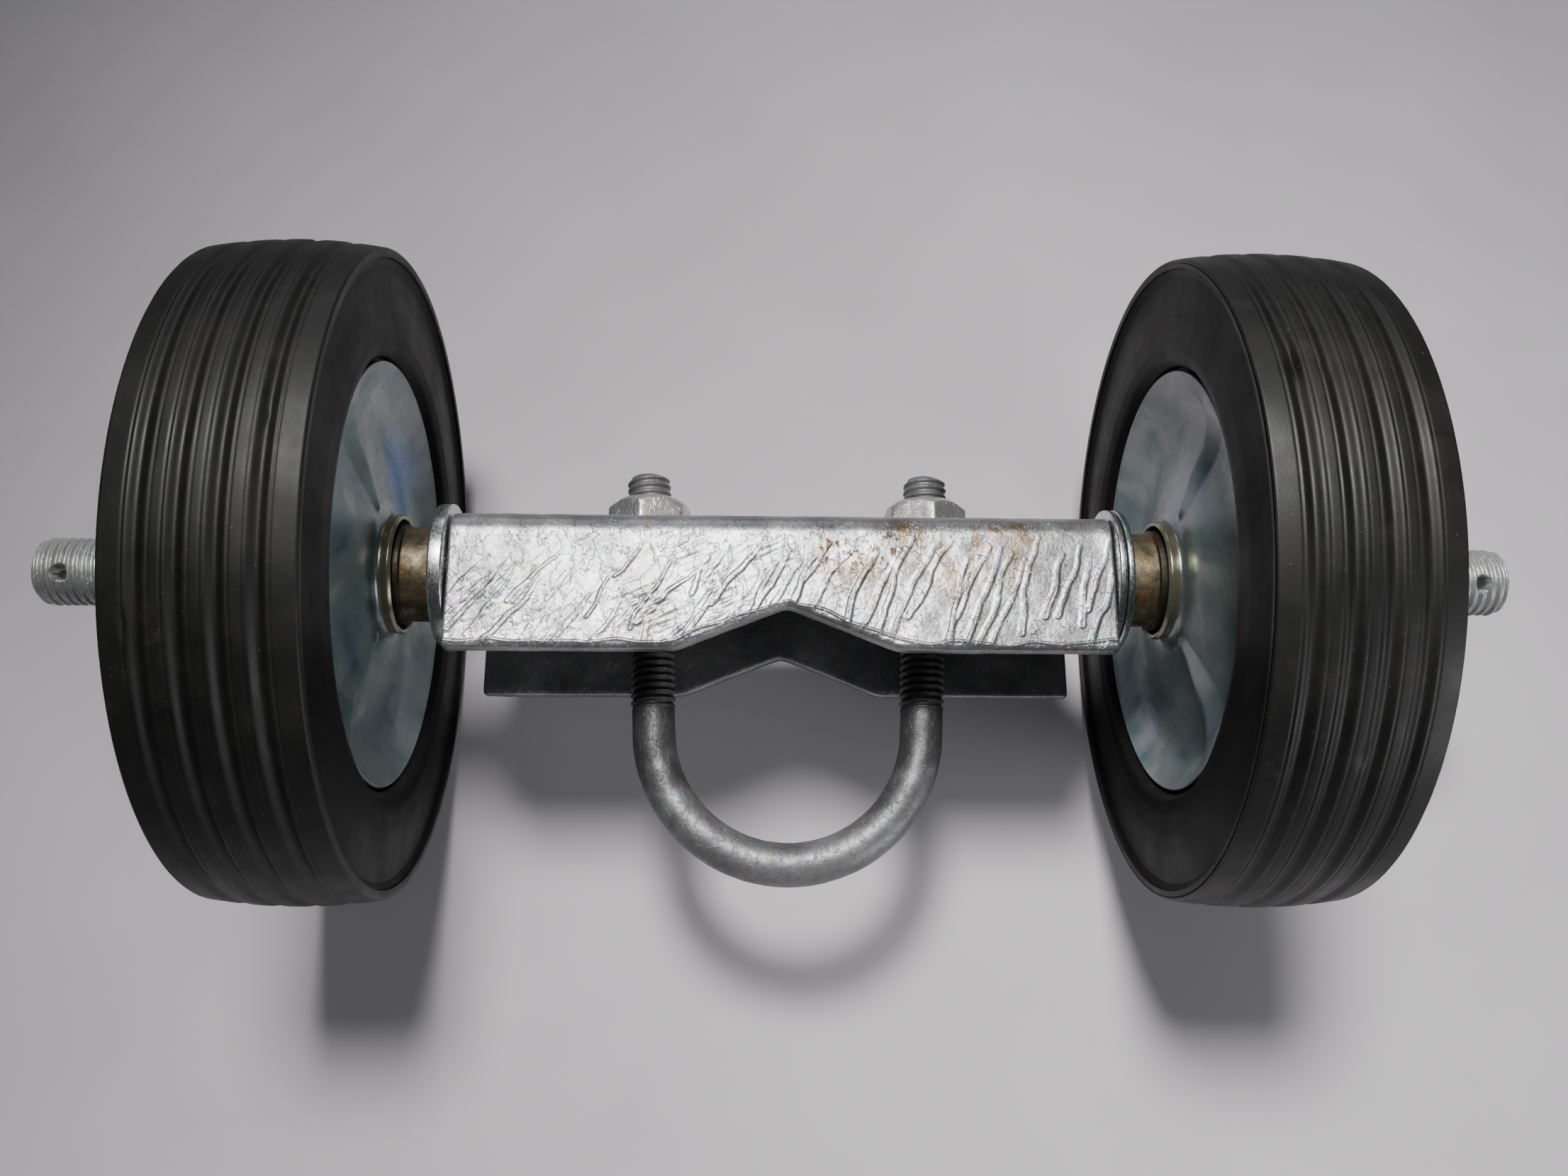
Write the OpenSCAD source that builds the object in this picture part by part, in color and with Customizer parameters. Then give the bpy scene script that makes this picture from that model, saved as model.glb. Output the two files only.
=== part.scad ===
// Two-wheel gate carrier: a folded saddle channel carries a fixed through axle with a
// solid-tyred wheel at each end, and a U-bolt clamps a gate's pipe into its V notches.
// X runs along the axle, Z is up, the wheels stand on z = 0 and the U-bolt points to -Y.

/* [Wheels] */
// Tyre diameter at the crown of the tread
wheel_d = 152.4; // [140:0.1:165]
// Width of the tyre across its sides
tyre_w = 36; // [30:0.5:44]
// Distance between the middle planes of the two wheels
wheel_gauge = 214; // [212:0.5:220]
// Drop from the crown to the edges of the tread
crown_drop = 1.5; // [0.5:0.1:3]
// Number of rounded ribs round the tread
tread_ribs = 5; // [3:1:7]
// Depth of the grooves between the ribs
groove_depth = 0.9; // [0.3:0.1:1.5]
// Diameter of the opening in the tyre's side
tyre_opening_d = 100.8; // [98:0.2:110]
// Diameter of the hole in the tyre, where it sits between the discs
tyre_bore_d = 84; // [80:0.5:88]

/* [Discs and hub] */
// Diameter of the pressed discs
disc_d = 98.6; // [96:0.2:100]
// Thickness of the pressed sheet
disc_t = 1.6; // [1.2:0.1:2]
// How far the disc's edge sits inside the side of the tyre
disc_recess = 2.6; // [2:0.1:4]
// Distance from the wheel's middle plane to the bottom of the dish
dish_floor = 9.2; // [6:0.2:10]
// How far each disc rises from the bottom of its dish to its collar
dish_rise = 4.8; // [2:0.2:6]
// Number of ribs pressed into each disc
disc_ribs = 3; // [2:1:6]
// Height of the pressed ribs
disc_rib_h = 2.4; // [1:0.2:3]
// Turn of the wheels about the axle, from a rib that points straight down
wheel_turn = 13; // [0:1:119]
// Length of the hub tube
hub_len = 53.4; // [50:0.2:54]
// Outer diameter of the hub tube
hub_d = 22.2; // [21:0.1:24]
// Inner diameter of the hub tube, which the bushes fill
hub_bore_d = 19.05; // [18.5:0.05:20]
// Length of each bush
bush_len = 19; // [12:0.5:24]
// Gap all round between a bush and the axle
running_gap = 0.06; // [0.02:0.01:0.1]

/* [Axle] */
// Diameter of the axle
axle_d = 15.875; // [15:0.005:16.2]
// Length of the axle
axle_len = 345; // [342:1:352]
// Diameter of the cross holes for the retaining pins
pin_hole_d = 4; // [3:0.1:5]
// Distance from the end of the axle to the middle of the cross hole
pin_hole_inset = 7.4; // [6:0.1:9]
// Lean of the cross holes towards the U-bolt
pin_hole_lean = 18; // [0:1:40]

/* [Washers and axle nuts] */
// Outer diameter of the flat washers
washer_d = 33.3; // [30:0.1:36]
// Hole of the flat washers
washer_bore_d = 16.9; // [16.4:0.1:18]
// Thickness of the thick washers
washer_t = 3.3; // [2.8:0.1:3.4]
// Thickness of each of the two thin washers on the right
thin_washer_t = 1.6; // [1.4:0.1:1.7]
// Width across the flats of the axle nuts
axle_nut_af = 23.8; // [22:0.1:27]
// Height of the axle nuts
axle_nut_h = 13.9; // [12:0.1:15]

/* [Saddle] */
// Length of the saddle channel
saddle_len = 152.4; // [150:0.1:153]
// Width of the channel across its flanges
saddle_w = 56; // [54:0.5:60]
// Thickness of the channel's sheet
sheet_t = 4.7; // [4:0.1:5]
// Height of the flanges, over the web
flange_h = 33.2; // [30:0.1:36]
// Outer radius of the folds
fold_r = 6; // [5.5:0.1:7]
// Depth of the V notches
notch_depth = 10.3; // [8:0.1:12]
// Half the width of the V notches
notch_half = 25.5; // [22:0.5:27]
// How far the notches sit to the right of the saddle's middle
notch_x = 1; // [-2:0.1:2]
// Diameter of the two holes for the U-bolt
leg_hole_d = 12.4; // [12:0.1:13]

/* [U-bolt] */
// Diameter of the rod
rod_d = 10.3; // [9.5:0.1:10.6]
// Diameter over the threads
thread_d = 10.9; // [10.4:0.05:11.2]
// Radius of the loop, at the middle of the rod
loop_r = 32.2; // [31:0.1:33]
// Distance from the axle's centre line to the middle of the loop
loop_reach = 33.6; // [31:0.1:35]
// Outward lean of each leg, which springs open a little where it leaves the loop
leg_splay = 2.5; // [0:0.1:3]
// How far the U-bolt sits to the right of the saddle's middle
clamp_x = 2; // [-2:0.1:3]
// Distance from the axle's centre line to the ends of the legs
leg_reach = 30.3; // [28:0.1:34]
// Distance from the axle's centre line to where the threads run out
thread_end = 29.4; // [26:0.1:32]
// Width across the flats of the clamp nuts
nut_af = 19.05; // [18:0.05:20]
// Height of the clamp nuts
nut_h = 10.7; // [9:0.1:11]
// Turn of the left clamp nut
left_nut_turn = 20; // [-30:1:30]
// Turn of the right clamp nut
right_nut_turn = -24; // [-30:1:30]

/* [Hidden] */
$fn = 96;

eps = 1;                                // overshoot of cutting tools
fit_gap = 0.05;                         // gap between pieces that rest on each other
press_gap = 0.01;                       // gap between a bush and the tube that it is pressed into
axle_z = wheel_d / 2;
wheel_x = wheel_gauge / 2;
hub_half = hub_len / 2;
hub_in = wheel_x - hub_half;            // inner end of a hub, from the middle of the carrier
hub_out = wheel_x + hub_half;           // outer end of a hub
web_inner = axle_d / 2 + fit_gap;       // the axle lies in the corner of web and upper flange
web_outer = web_inner + sheet_t;
saddle_top = web_outer;                 // upper face of the upper flange, above the axle
saddle_mid = saddle_top - saddle_w / 2; // middle of the channel, above the axle
leg_root_x = loop_r * cos(leg_splay);   // where the legs leave the loop, from its middle
leg_root_y = -loop_reach - loop_r * sin(leg_splay);
washer_gap = (hub_in - saddle_len / 2 - washer_t) / 2;
thin_gap = (hub_in - saddle_len / 2 - 2 * thin_washer_t) / 3;
side = tyre_w / 2;
disc_edge = side - disc_recess;         // outer face of a disc's edge, from the middle plane
collar_r = 14;
collar_end = 18.6;                      // mouth of a disc's collar, from the middle plane
seat_gap = 0.2;                         // between the tyre and the backs of the discs
seat_foot_r = tyre_bore_d / 2 - 1;      // the back of a disc slopes from the foot to the rim
seat_foot_w = dish_floor - disc_t;
seat_rim_r = disc_d / 2 - 1;
seat_rim_w = disc_edge - disc_t;
seat_slope = (seat_rim_w - seat_foot_w) / (seat_rim_r - seat_foot_r);
groove_share = 0.28;                    // half width of a groove, as a share of the ribs' pitch

zinc = "#b9bdbe";
dull_zinc = "#8f9293";
plated_blue = "#7f9498";
plated_gold = "#a08a55";
rubber = "#2b2928";

// Places children on the axle's centre line, with their Z axis along X, at x.
module on_axle(x) {
    translate([x, 0, axle_z]) rotate([0, 90, 0]) children();
}

module ring(outer_d, inner_d, length) {
    difference() {
        cylinder(d = outer_d, h = length);
        translate([0, 0, -eps]) cylinder(d = inner_d, h = length + 2 * eps);
    }
}

// A washer with softly chamfered rims, its lower face on z = 0.
module washer(outer_d, inner_d, length) {
    rim = min(0.4, length / 5);
    r = outer_d / 2;
    rotate_extrude()
        polygon([[inner_d / 2, 0], [r - rim, 0], [r, rim], [r, length - rim],
                 [r - rim, length], [inner_d / 2, length]]);
}

// A hexagon nut with chamfered corners on both faces, its lower face on z = 0.
module hex_nut(flats, length, bore) {
    corner_r = flats / sqrt(3);
    face_r = flats / 2 * 0.97;
    chamfer = (corner_r - face_r) * tan(30);
    difference() {
        intersection() {
            cylinder(r = corner_r, h = length, $fn = 6);
            rotate_extrude()
                polygon([[0, 0], [face_r, 0], [corner_r + fit_gap, chamfer],
                         [corner_r + fit_gap, length - chamfer],
                         [face_r, length], [0, length]]);
        }
        translate([0, 0, -eps]) cylinder(d = bore, h = length + 2 * eps);
    }
}

// ---- saddle and U-bolt ----

// Outline of the channel across X: web at +Y, flanges towards -Y.
module channel_outline() {
    inner_r = fold_r - sheet_t;
    free_y = web_outer - flange_h;
    difference() {
        union() {
            translate([free_y, saddle_top - saddle_w]) square([flange_h - fold_r, saddle_w]);
            translate([free_y, saddle_top - saddle_w + fold_r])
                square([flange_h, saddle_w - 2 * fold_r]);
            for (z = [saddle_top - fold_r, saddle_top - saddle_w + fold_r])
                translate([web_outer - fold_r, z]) circle(r = fold_r);
        }
        difference() {
            translate([free_y - eps, saddle_top - saddle_w + sheet_t])
                square([flange_h - sheet_t + eps, saddle_w - 2 * sheet_t]);
            for (z = [saddle_top - sheet_t, saddle_top - saddle_w + sheet_t])
                translate([web_inner, z]) inner_fold(inner_r, z > saddle_mid ? -1 : 1);
        }
    }
}

// The little fillet inside a fold, in the corner that points to +Y.
module inner_fold(r, up) {
    difference() {
        translate([-r, up > 0 ? 0 : -r]) square(r);
        translate([-r, up * r]) circle(r = r);
    }
}

module saddle_channel() {
    free_y = web_outer - flange_h;
    past = 0.2;                         // how far the notch cutter runs on past the free edges
    color(zinc) difference() {
        translate([-saddle_len / 2, 0, axle_z]) rotate([90, 0, 90])
            linear_extrude(saddle_len) channel_outline();
        translate([notch_x, free_y, axle_z - 2 * saddle_w]) linear_extrude(4 * saddle_w)
            polygon([[-notch_half * (1 + past), -notch_depth * past], [0, notch_depth],
                     [notch_half * (1 + past), -notch_depth * past]]);
        for (s = [-1, 1])
            translate([leg_x(s, web_inner + sheet_t / 2), web_inner - eps, axle_z + saddle_mid])
                rotate([-90, 0, 0]) cylinder(d = leg_hole_d, h = sheet_t + 2 * eps);
    }
}

// Middle of a leg at height y above the axle's centre line; s is -1 for left, 1 for right.
function leg_x(s, y) = clamp_x + s * (leg_root_x + (y - leg_root_y) * tan(leg_splay));

// A straight round bar along a leg, from y0 to y1.
module leg_bar(s, y0, y1, d0, d1) {
    translate([leg_x(s, y0), y0, 0]) rotate([-90, 0, -s * leg_splay])
        cylinder(d1 = d0, d2 = d1, h = (y1 - y0) / cos(leg_splay));
}

module u_bolt() {
    chamfer = 1.2;
    color(dull_zinc) translate([0, 0, axle_z + saddle_mid]) {
        translate([clamp_x, -loop_reach, 0]) rotate([0, 0, 180 + leg_splay])
            rotate_extrude(angle = 180 - 2 * leg_splay) translate([loop_r, 0]) circle(d = rod_d);
        for (s = [-1, 1]) {
            leg_bar(s, leg_root_y, -thread_end + fit_gap, rod_d, rod_d);
            leg_bar(s, -thread_end, leg_reach - chamfer, thread_d, thread_d);
            leg_bar(s, leg_reach - chamfer, leg_reach, thread_d, thread_d - 2 * chamfer);
        }
    }
}

module clamp_nut(s, turn) {
    bore = thread_d + 2 * (nut_h / 2 * tan(leg_splay) + fit_gap);
    color(zinc) translate([leg_x(s, web_outer + nut_h / 2), web_outer, axle_z + saddle_mid])
        rotate([-90, 0, 0]) rotate([0, 0, turn]) hex_nut(nut_af, nut_h, bore);
}

// ---- axle and what is on it ----

module axle() {
    chamfer = 2;
    r = axle_d / 2;
    color(zinc) difference() {
        on_axle(-axle_len / 2) rotate_extrude()
            polygon([[0, 0], [r - chamfer, 0], [r, chamfer], [r, axle_len - chamfer],
                     [r - chamfer, axle_len], [0, axle_len]]);
        for (s = [-1, 1])
            translate([s * (axle_len / 2 - pin_hole_inset), 0, axle_z])
                rotate([pin_hole_lean, 0, 0])
                    cylinder(d = pin_hole_d, h = 2 * axle_d, center = true);
    }
}

// A fillet weld that joins the axle to the underside of the web, near one end of the channel.
module axle_weld(s) {
    weld_len = 24;
    weld_in = 6;
    leg = 5;
    x = s > 0 ? saddle_len / 2 - weld_in - weld_len : -saddle_len / 2 + weld_in;
    color(dull_zinc) translate([x, 0, axle_z]) rotate([90, 0, 90])
        linear_extrude(weld_len) difference() {
            polygon([[web_inner, -1], [web_inner, -axle_d / 2 - leg / 2], [0, -axle_d / 2]]);
            circle(d = axle_d);
        }
}

module inner_washer_left() {
    color(zinc) on_axle(-saddle_len / 2 - washer_gap - washer_t)
        washer(washer_d, washer_bore_d, washer_t);
}

module inner_washer_right() {
    color(zinc) on_axle(saddle_len / 2 + thin_gap) washer(washer_d, washer_bore_d, thin_washer_t);
}

module spacer_washer_right() {
    color(plated_blue) on_axle(saddle_len / 2 + 2 * thin_gap + thin_washer_t)
        washer(washer_d, washer_bore_d, thin_washer_t);
}

module outer_washer(s) {
    x = s > 0 ? hub_out + washer_gap : -hub_out - washer_gap - washer_t;
    color(zinc) on_axle(x) washer(washer_d, washer_bore_d, washer_t);
}

module axle_nut(s) {
    inner = hub_out + washer_gap + washer_t;
    x = s > 0 ? inner : -inner - axle_nut_h;
    color(zinc) on_axle(x) hex_nut(axle_nut_af, axle_nut_h, axle_d + 2 * fit_gap);
}

// ---- wheels ----

// Depth of the grooves at w: none at the edges, one between each pair of ribs.
function groove(w) =
    let (pitch = tyre_w / tread_ribs,
         n = round((w + side) / pitch),
         off = abs(w + side - n * pitch),
         half = pitch * groove_share)
    (n < 1 || n > tread_ribs - 1 || off > half) ? 0
        : groove_depth * (1 + cos(180 * off / half)) / 2;

// Radius of the tread at w from the middle plane.
function crown(w) = wheel_d / 2 - crown_drop * pow(w / side, 2) - groove(w);

// Height of the sloping back of a disc at radius r, where the tyre sits on it.
function seat_w(r) = seat_foot_w + (r - seat_foot_r) * seat_slope;

module tyre(s) {
    steps = 120;
    edge_r = crown(side);
    open_r = tyre_opening_d / 2;
    bore_r = tyre_bore_d / 2;
    shelf = seat_rim_w - 0.6;
    shelf_r = seat_foot_r + (shelf - seat_foot_w) / seat_slope + seat_gap;
    lip = 1.5;
    band = 1.6;
    step = 0.8;
    tread = [for (i = [0:steps]) let (w = -side + tyre_w * i / steps) [crown(w), w]];
    half_side = [[edge_r - band, side], [edge_r - band - step, side - step],
                 [open_r + lip, side - step], [open_r, side - step - lip],
                 [open_r, shelf], [shelf_r, shelf], [bore_r, seat_w(bore_r - seat_gap)]];
    other_side = [for (i = [len(half_side) - 1:-1:0]) [half_side[i][0], -half_side[i][1]]];
    color(rubber) on_axle(s * wheel_x) rotate_extrude()
        polygon(concat(tread, half_side, other_side));
}

// Cross-section of one pressed disc, as [radius, height] from the wheel's middle plane.
module disc_section(lift) {
    hub_r = hub_d / 2 + fit_gap;
    edge_r = disc_d / 2;
    top_w = dish_floor + dish_rise;
    t = disc_t;
    polygon([[hub_r, top_w - t - 0.3], [18, top_w - t - 0.1], [seat_foot_r - 5, seat_foot_w + 1],
             [seat_foot_r, seat_foot_w], [seat_rim_r, seat_rim_w],
             [edge_r, disc_edge - t / 2], [edge_r - 1.2, disc_edge],
             [seat_foot_r - 0.4, dish_floor + 0.2 + lift * 0.8],
             [seat_foot_r - 4.5, dish_floor + 1.1 + lift], [19.5, top_w - 0.1 + lift * 0.4],
             [16.6, top_w + 0.8], [14.5, top_w + 2],
             [collar_r, collar_end - 1], [collar_r - 0.6, collar_end],
             [collar_r - 1.5, collar_end - 0.6], [hub_r, collar_end - 3.4]]);
}

// One pressed disc with its ribs, its open side towards +Z.
module disc() {
    tip_half = 1;
    rim_half = 7.5;
    rotate_extrude() disc_section(0);
    intersection() {
        rotate_extrude() disc_section(disc_rib_h);
        for (i = [0:disc_ribs - 1])
            rotate([0, 0, i * 360 / disc_ribs]) linear_extrude(2 * side)
                polygon([[16, -tip_half], [16, tip_half],
                         [disc_d / 2, rim_half], [disc_d / 2, -rim_half]]);
    }
}

module inner_disc(s) {
    flip = s > 0 ? 180 : 0;
    color(plated_blue) on_axle(s * wheel_x) rotate([0, 0, wheel_turn]) rotate([flip, 0, 0]) disc();
}

module outer_disc(s) {
    flip = s > 0 ? 0 : 180;
    color(plated_blue) on_axle(s * wheel_x) rotate([0, 0, wheel_turn]) rotate([flip, 0, 0]) disc();
}

module hub_tube(s) {
    color(plated_gold) on_axle(s * wheel_x - hub_half) ring(hub_d, hub_bore_d, hub_len);
}

// A bush inside one end of the hub tube; x is its end nearer to the left.
module bush(x) {
    color(plated_gold) on_axle(x)
        ring(hub_bore_d - 2 * press_gap, axle_d + 2 * running_gap, bush_len);
}

saddle_channel();
u_bolt();
clamp_nut(-1, left_nut_turn);  // clamp_nut_left
clamp_nut(1, right_nut_turn);  // clamp_nut_right
axle();
axle_weld(-1);  // axle_weld_left
axle_weld(1);  // axle_weld_right
inner_washer_left();
inner_washer_right();
spacer_washer_right();
outer_washer(-1);  // outer_washer_left
outer_washer(1);  // outer_washer_right
axle_nut(-1);  // axle_nut_left
axle_nut(1);  // axle_nut_right
tyre(-1);  // tyre_left
inner_disc(-1);  // inner_disc_left
outer_disc(-1);  // outer_disc_left
hub_tube(-1);  // hub_tube_left
bush(-hub_in - bush_len);  // inner_bush_left
bush(-hub_out);  // outer_bush_left
tyre(1);  // tyre_right
inner_disc(1);  // inner_disc_right
outer_disc(1);  // outer_disc_right
hub_tube(1);  // hub_tube_right
bush(hub_in);  // inner_bush_right
bush(hub_out - bush_len);  // outer_bush_right
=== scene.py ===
import math

import bmesh
import bpy
import numpy as np
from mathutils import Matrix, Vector, noise


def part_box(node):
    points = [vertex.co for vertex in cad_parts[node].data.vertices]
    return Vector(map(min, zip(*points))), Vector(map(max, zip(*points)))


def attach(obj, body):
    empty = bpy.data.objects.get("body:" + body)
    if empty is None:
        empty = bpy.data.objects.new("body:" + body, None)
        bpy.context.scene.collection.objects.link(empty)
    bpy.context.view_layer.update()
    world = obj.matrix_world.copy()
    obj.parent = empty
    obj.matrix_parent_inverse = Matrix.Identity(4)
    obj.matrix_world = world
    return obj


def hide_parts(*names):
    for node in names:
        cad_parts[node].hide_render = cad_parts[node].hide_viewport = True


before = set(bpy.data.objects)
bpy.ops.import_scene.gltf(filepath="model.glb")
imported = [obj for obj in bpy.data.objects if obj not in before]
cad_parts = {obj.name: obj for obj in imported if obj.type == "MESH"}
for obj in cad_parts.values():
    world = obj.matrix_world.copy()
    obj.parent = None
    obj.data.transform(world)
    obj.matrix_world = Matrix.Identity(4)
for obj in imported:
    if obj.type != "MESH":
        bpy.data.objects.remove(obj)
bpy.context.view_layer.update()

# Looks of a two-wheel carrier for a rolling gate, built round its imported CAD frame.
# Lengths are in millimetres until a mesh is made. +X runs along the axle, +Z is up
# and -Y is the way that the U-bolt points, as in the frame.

MM = 0.001


# ---- places from the frame, and named sizes ----

def box_mm(node):
    """Lowest and highest corner of a CAD node, in millimetres."""
    lo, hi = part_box(node)
    return np.array(lo) / MM, np.array(hi) / MM


AXLE_LO, AXLE_HI = box_mm("axle")
AXLE_END = AXLE_HI[0]
AXLE_R = (AXLE_HI[2] - AXLE_LO[2]) / 2
AXLE_Z = (AXLE_HI[2] + AXLE_LO[2]) / 2
PIN_HOLE_R = 2.0
PIN_HOLE_INSET = 7.4
PIN_HOLE_LEAN = math.radians(18)
AXLE_PITCH = 2.0
AXLE_THREAD_DEPTH = 0.75

SADDLE_LO, SADDLE_HI = box_mm("saddle_channel")
SADDLE_HALF = SADDLE_HI[0]
SADDLE_TOP = SADDLE_HI[2]
SADDLE_FLOOR = SADDLE_LO[2]
WEB_OUTER = SADDLE_HI[1]
FREE_EDGE = SADDLE_LO[1]
SHEET_T = 4.7
FOLD_R = 6.0
NOTCH_X = 1.0
NOTCH_HALF = 25.5
NOTCH_DEPTH = 10.3
CORNER_R = 1.1
LEG_HOLE_R = 6.2

CLAMP_LO, CLAMP_HI = box_mm("u_bolt")
CLAMP_X = (CLAMP_LO[0] + CLAMP_HI[0]) / 2
CLAMP_Z = (CLAMP_LO[2] + CLAMP_HI[2]) / 2
LEG_TIP = CLAMP_HI[1]
ROD_R = 5.15
THREAD_R = 5.45
LOOP_R = 32.2
LOOP_Y = CLAMP_LO[1] + ROD_R + LOOP_R
LEG_SPLAY = math.radians(2.5)
ROOT_Y = LOOP_Y - LOOP_R * math.sin(LEG_SPLAY)
THREAD_END = -29.4
CLAMP_PITCH = 1.814
CLAMP_THREAD_DEPTH = 0.62
CLAMP_NUT_AF = 19.05
CLAMP_NUT_TURN = {"left": 20, "right": -24}
AXLE_NUT_AF = 23.8

TYRE_LO, TYRE_HI = box_mm("tyre_right")
WHEEL_X = (TYRE_LO[0] + TYRE_HI[0]) / 2
WHEEL_R = (TYRE_HI[2] - TYRE_LO[2]) / 2
TYRE_SIDE = (TYRE_HI[0] - TYRE_LO[0]) / 2
CROWN_DROP = 1.5
TREAD_RIBS = 5
GROOVE_DEPTH = 0.95
OPENING_R = 50.4
TYRE_BORE_R = 42.0

DISC_LO, DISC_HI = box_mm("outer_disc_right")
DISC_R = (DISC_HI[2] - DISC_LO[2]) / 2
COLLAR_END = DISC_HI[0] - WHEEL_X
DISC_T = 1.6
DISC_FLOOR = 9.2
DISC_TOP = 14.0
DISC_EDGE = 15.4
COLLAR_R = 14.0
DISC_RIBS = 3
RIB_HEIGHT = 2.4
RIB_START = 15.2
RIB_HALF = 1.2
RIB_FLARE = 0.225
DISH_SLOPE = 0.19
WHEEL_TURN = math.radians(13)

HUB_LO, HUB_HI = box_mm("hub_tube_right")
HUB_R = (HUB_HI[2] - HUB_LO[2]) / 2
HUB_BORE_R = 9.525

SIDES = {"left": -1, "right": 1}


# ---- meshes ----

class Shape:
    """Collects points, in millimetres, and the faces between them, then makes one piece."""

    def __init__(self):
        self.points = []
        self.faces = []
        self.count = 0

    def add(self, points):
        """Adds points and returns their numbers."""
        points = np.asarray(points, float)
        flat = points.reshape(-1, 3)
        numbers = self.count + np.arange(len(flat))
        self.points.append(flat)
        self.count += len(flat)
        return numbers.reshape(points.shape[:-1])

    def skin(self, numbers, round_columns=False):
        """Joins a grid of point numbers with quads, closed round each row and, if asked, each column."""
        numbers = np.concatenate([numbers, numbers[:, :1]], axis=1)
        if round_columns:
            numbers = np.concatenate([numbers, numbers[:1]], axis=0)
        a, b = numbers[:-1, :-1], numbers[:-1, 1:]
        c, d = numbers[1:, 1:], numbers[1:, :-1]
        self.faces += np.stack([a, b, c, d], axis=-1).reshape(-1, 4).tolist()

    def cap(self, numbers):
        """Closes a loop of point numbers with one face."""
        self.faces.append([int(n) for n in numbers])

    def tube(self, rings):
        """Adds rings of points, joined by quads and closed at both ends."""
        numbers = self.add(rings)
        self.skin(numbers)
        self.cap(numbers[0])
        self.cap(numbers[-1])

    def make(self, name, body, material, replaces=(), sharp=45):
        """Makes the piece, rides it on its body and returns it."""
        mesh = bpy.data.meshes.new(name)
        points = np.concatenate(self.points) * MM
        mesh.from_pydata(points.tolist(), [], self.faces)
        work = bmesh.new()
        work.from_mesh(mesh)
        bmesh.ops.recalc_face_normals(work, faces=work.faces)
        work.to_mesh(mesh)
        work.free()
        mesh.shade_smooth()
        mesh.set_sharp_from_angle(angle=math.radians(sharp))
        mesh.materials.append(material)
        piece = bpy.data.objects.new(name, mesh)
        bpy.context.scene.collection.objects.link(piece)
        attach(piece, body)
        if replaces:
            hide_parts(*replaces)
        return piece


def smooth_step(t):
    """0 below 0, 1 above 1 and smooth between."""
    t = np.clip(t, 0, 1)
    return t * t * (3 - 2 * t)


def waves(points, cell, seed):
    """Smooth seeded noise at points (n, 3), about -1 to 1, whose bumps are about cell wide."""
    rng = np.random.default_rng(seed)
    total = np.zeros(len(points))
    count = 14
    for _ in range(count):
        direction = rng.normal(size=3)
        direction *= rng.uniform(0.6, 1.5) * math.pi / cell / np.linalg.norm(direction)
        total += np.sin(points @ direction + rng.uniform(0, 2 * math.pi))
    return total / math.sqrt(count)


def fillet(corners, radius, steps=5):
    """A closed outline with its corners rounded. Radius is one length or one for each corner."""
    corners = np.asarray(corners, float)
    radii = np.broadcast_to(radius, len(corners))
    out = []
    for i, corner in enumerate(corners):
        before, after = corners[i - 1] - corner, corners[(i + 1) % len(corners)] - corner
        cut_a = min(radii[i], 0.48 * np.linalg.norm(before)) * before / np.linalg.norm(before)
        cut_b = min(radii[i], 0.48 * np.linalg.norm(after)) * after / np.linalg.norm(after)
        for t in np.linspace(0, 1, steps):
            out.append(corner + cut_a * (1 - t) ** 2 + cut_b * t ** 2)
    return np.array(out)


def refine(outline, step):
    """A closed outline with points put in, so that none are further than step apart."""
    out = []
    for a, b in zip(outline, np.roll(outline, -1, axis=0)):
        parts = max(1, math.ceil(np.linalg.norm(b - a) / step))
        out += [a + (b - a) * k / parts for k in range(parts)]
    return np.array(out)


def turned_piece(name, body, material, outline, replaces, radial, middle, facing=1,
                 segments=160, sharp=45):
    """One closed piece turned about the axle. The outline holds (radius, distance from middle), and
    radial changes both as it goes round."""
    r = np.repeat(outline[:, :1], segments, axis=1)
    w = np.repeat(outline[:, 1:], segments, axis=1)
    turn = np.broadcast_to(np.linspace(0, 2 * math.pi, segments, endpoint=False), r.shape)
    r, w = radial(r, w, turn)
    shape = Shape()
    rings = np.stack([middle + facing * w, r * np.sin(turn), AXLE_Z + r * np.cos(turn)], axis=-1)
    shape.skin(shape.add(rings), round_columns=True)
    shape.make(name, body, material, replaces, sharp)


# ---- materials ----

# Noise values lie mostly between these two
NOISE_LOW, NOISE_HIGH = 0.3, 0.7

# Colours, linear
SPECK_GREY = (0.16, 0.15, 0.14)
# Painted shade for the U-bolt's legs
LEG_SHADE = (0.045, 0.045, 0.045)
RUST_BROWN = (0.13, 0.085, 0.04)
SPOT_BROWN = (0.055, 0.035, 0.022)
DUST_BROWN = (0.20, 0.175, 0.14)
PLATE_CLOUDS = [(0.32, (0.052, 0.085, 0.098)), (0.45, (0.105, 0.150, 0.160)),
                (0.56, (0.135, 0.175, 0.168)), (0.68, (0.215, 0.255, 0.240))]
PLATE_LILAC = (0.30, 0.28, 0.33)
PLATE_BLUE = (0.10, 0.33, 0.72)
PLATE_YELLOW = (0.19, 0.18, 0.125)
PLATE_GRIME = (0.10, 0.11, 0.11)
GOLDEN_CLOUDS = [(0.32, (0.035, 0.032, 0.025)), (0.50, (0.13, 0.11, 0.07)), (0.68, (0.25, 0.21, 0.13))]
ORANGE_RUST = (0.22, 0.10, 0.035)
# Painted shade for the hub tube's ring in the gap beside the collar
COLLAR_GAP_SHADE = (0.028, 0.024, 0.019)
RUBBER_TONES = (0.0031, 0.0029, 0.0026), (0.0066, 0.0060, 0.0052)
TYRE_DUST = (0.036, 0.030, 0.024)
TYRE_SPECK = (0.12, 0.115, 0.105)

# Middle of the blue patch on the left inner disc
BLUE_SPOT = (-WHEEL_X + 12.5, 25, AXLE_Z - 14)


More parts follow.
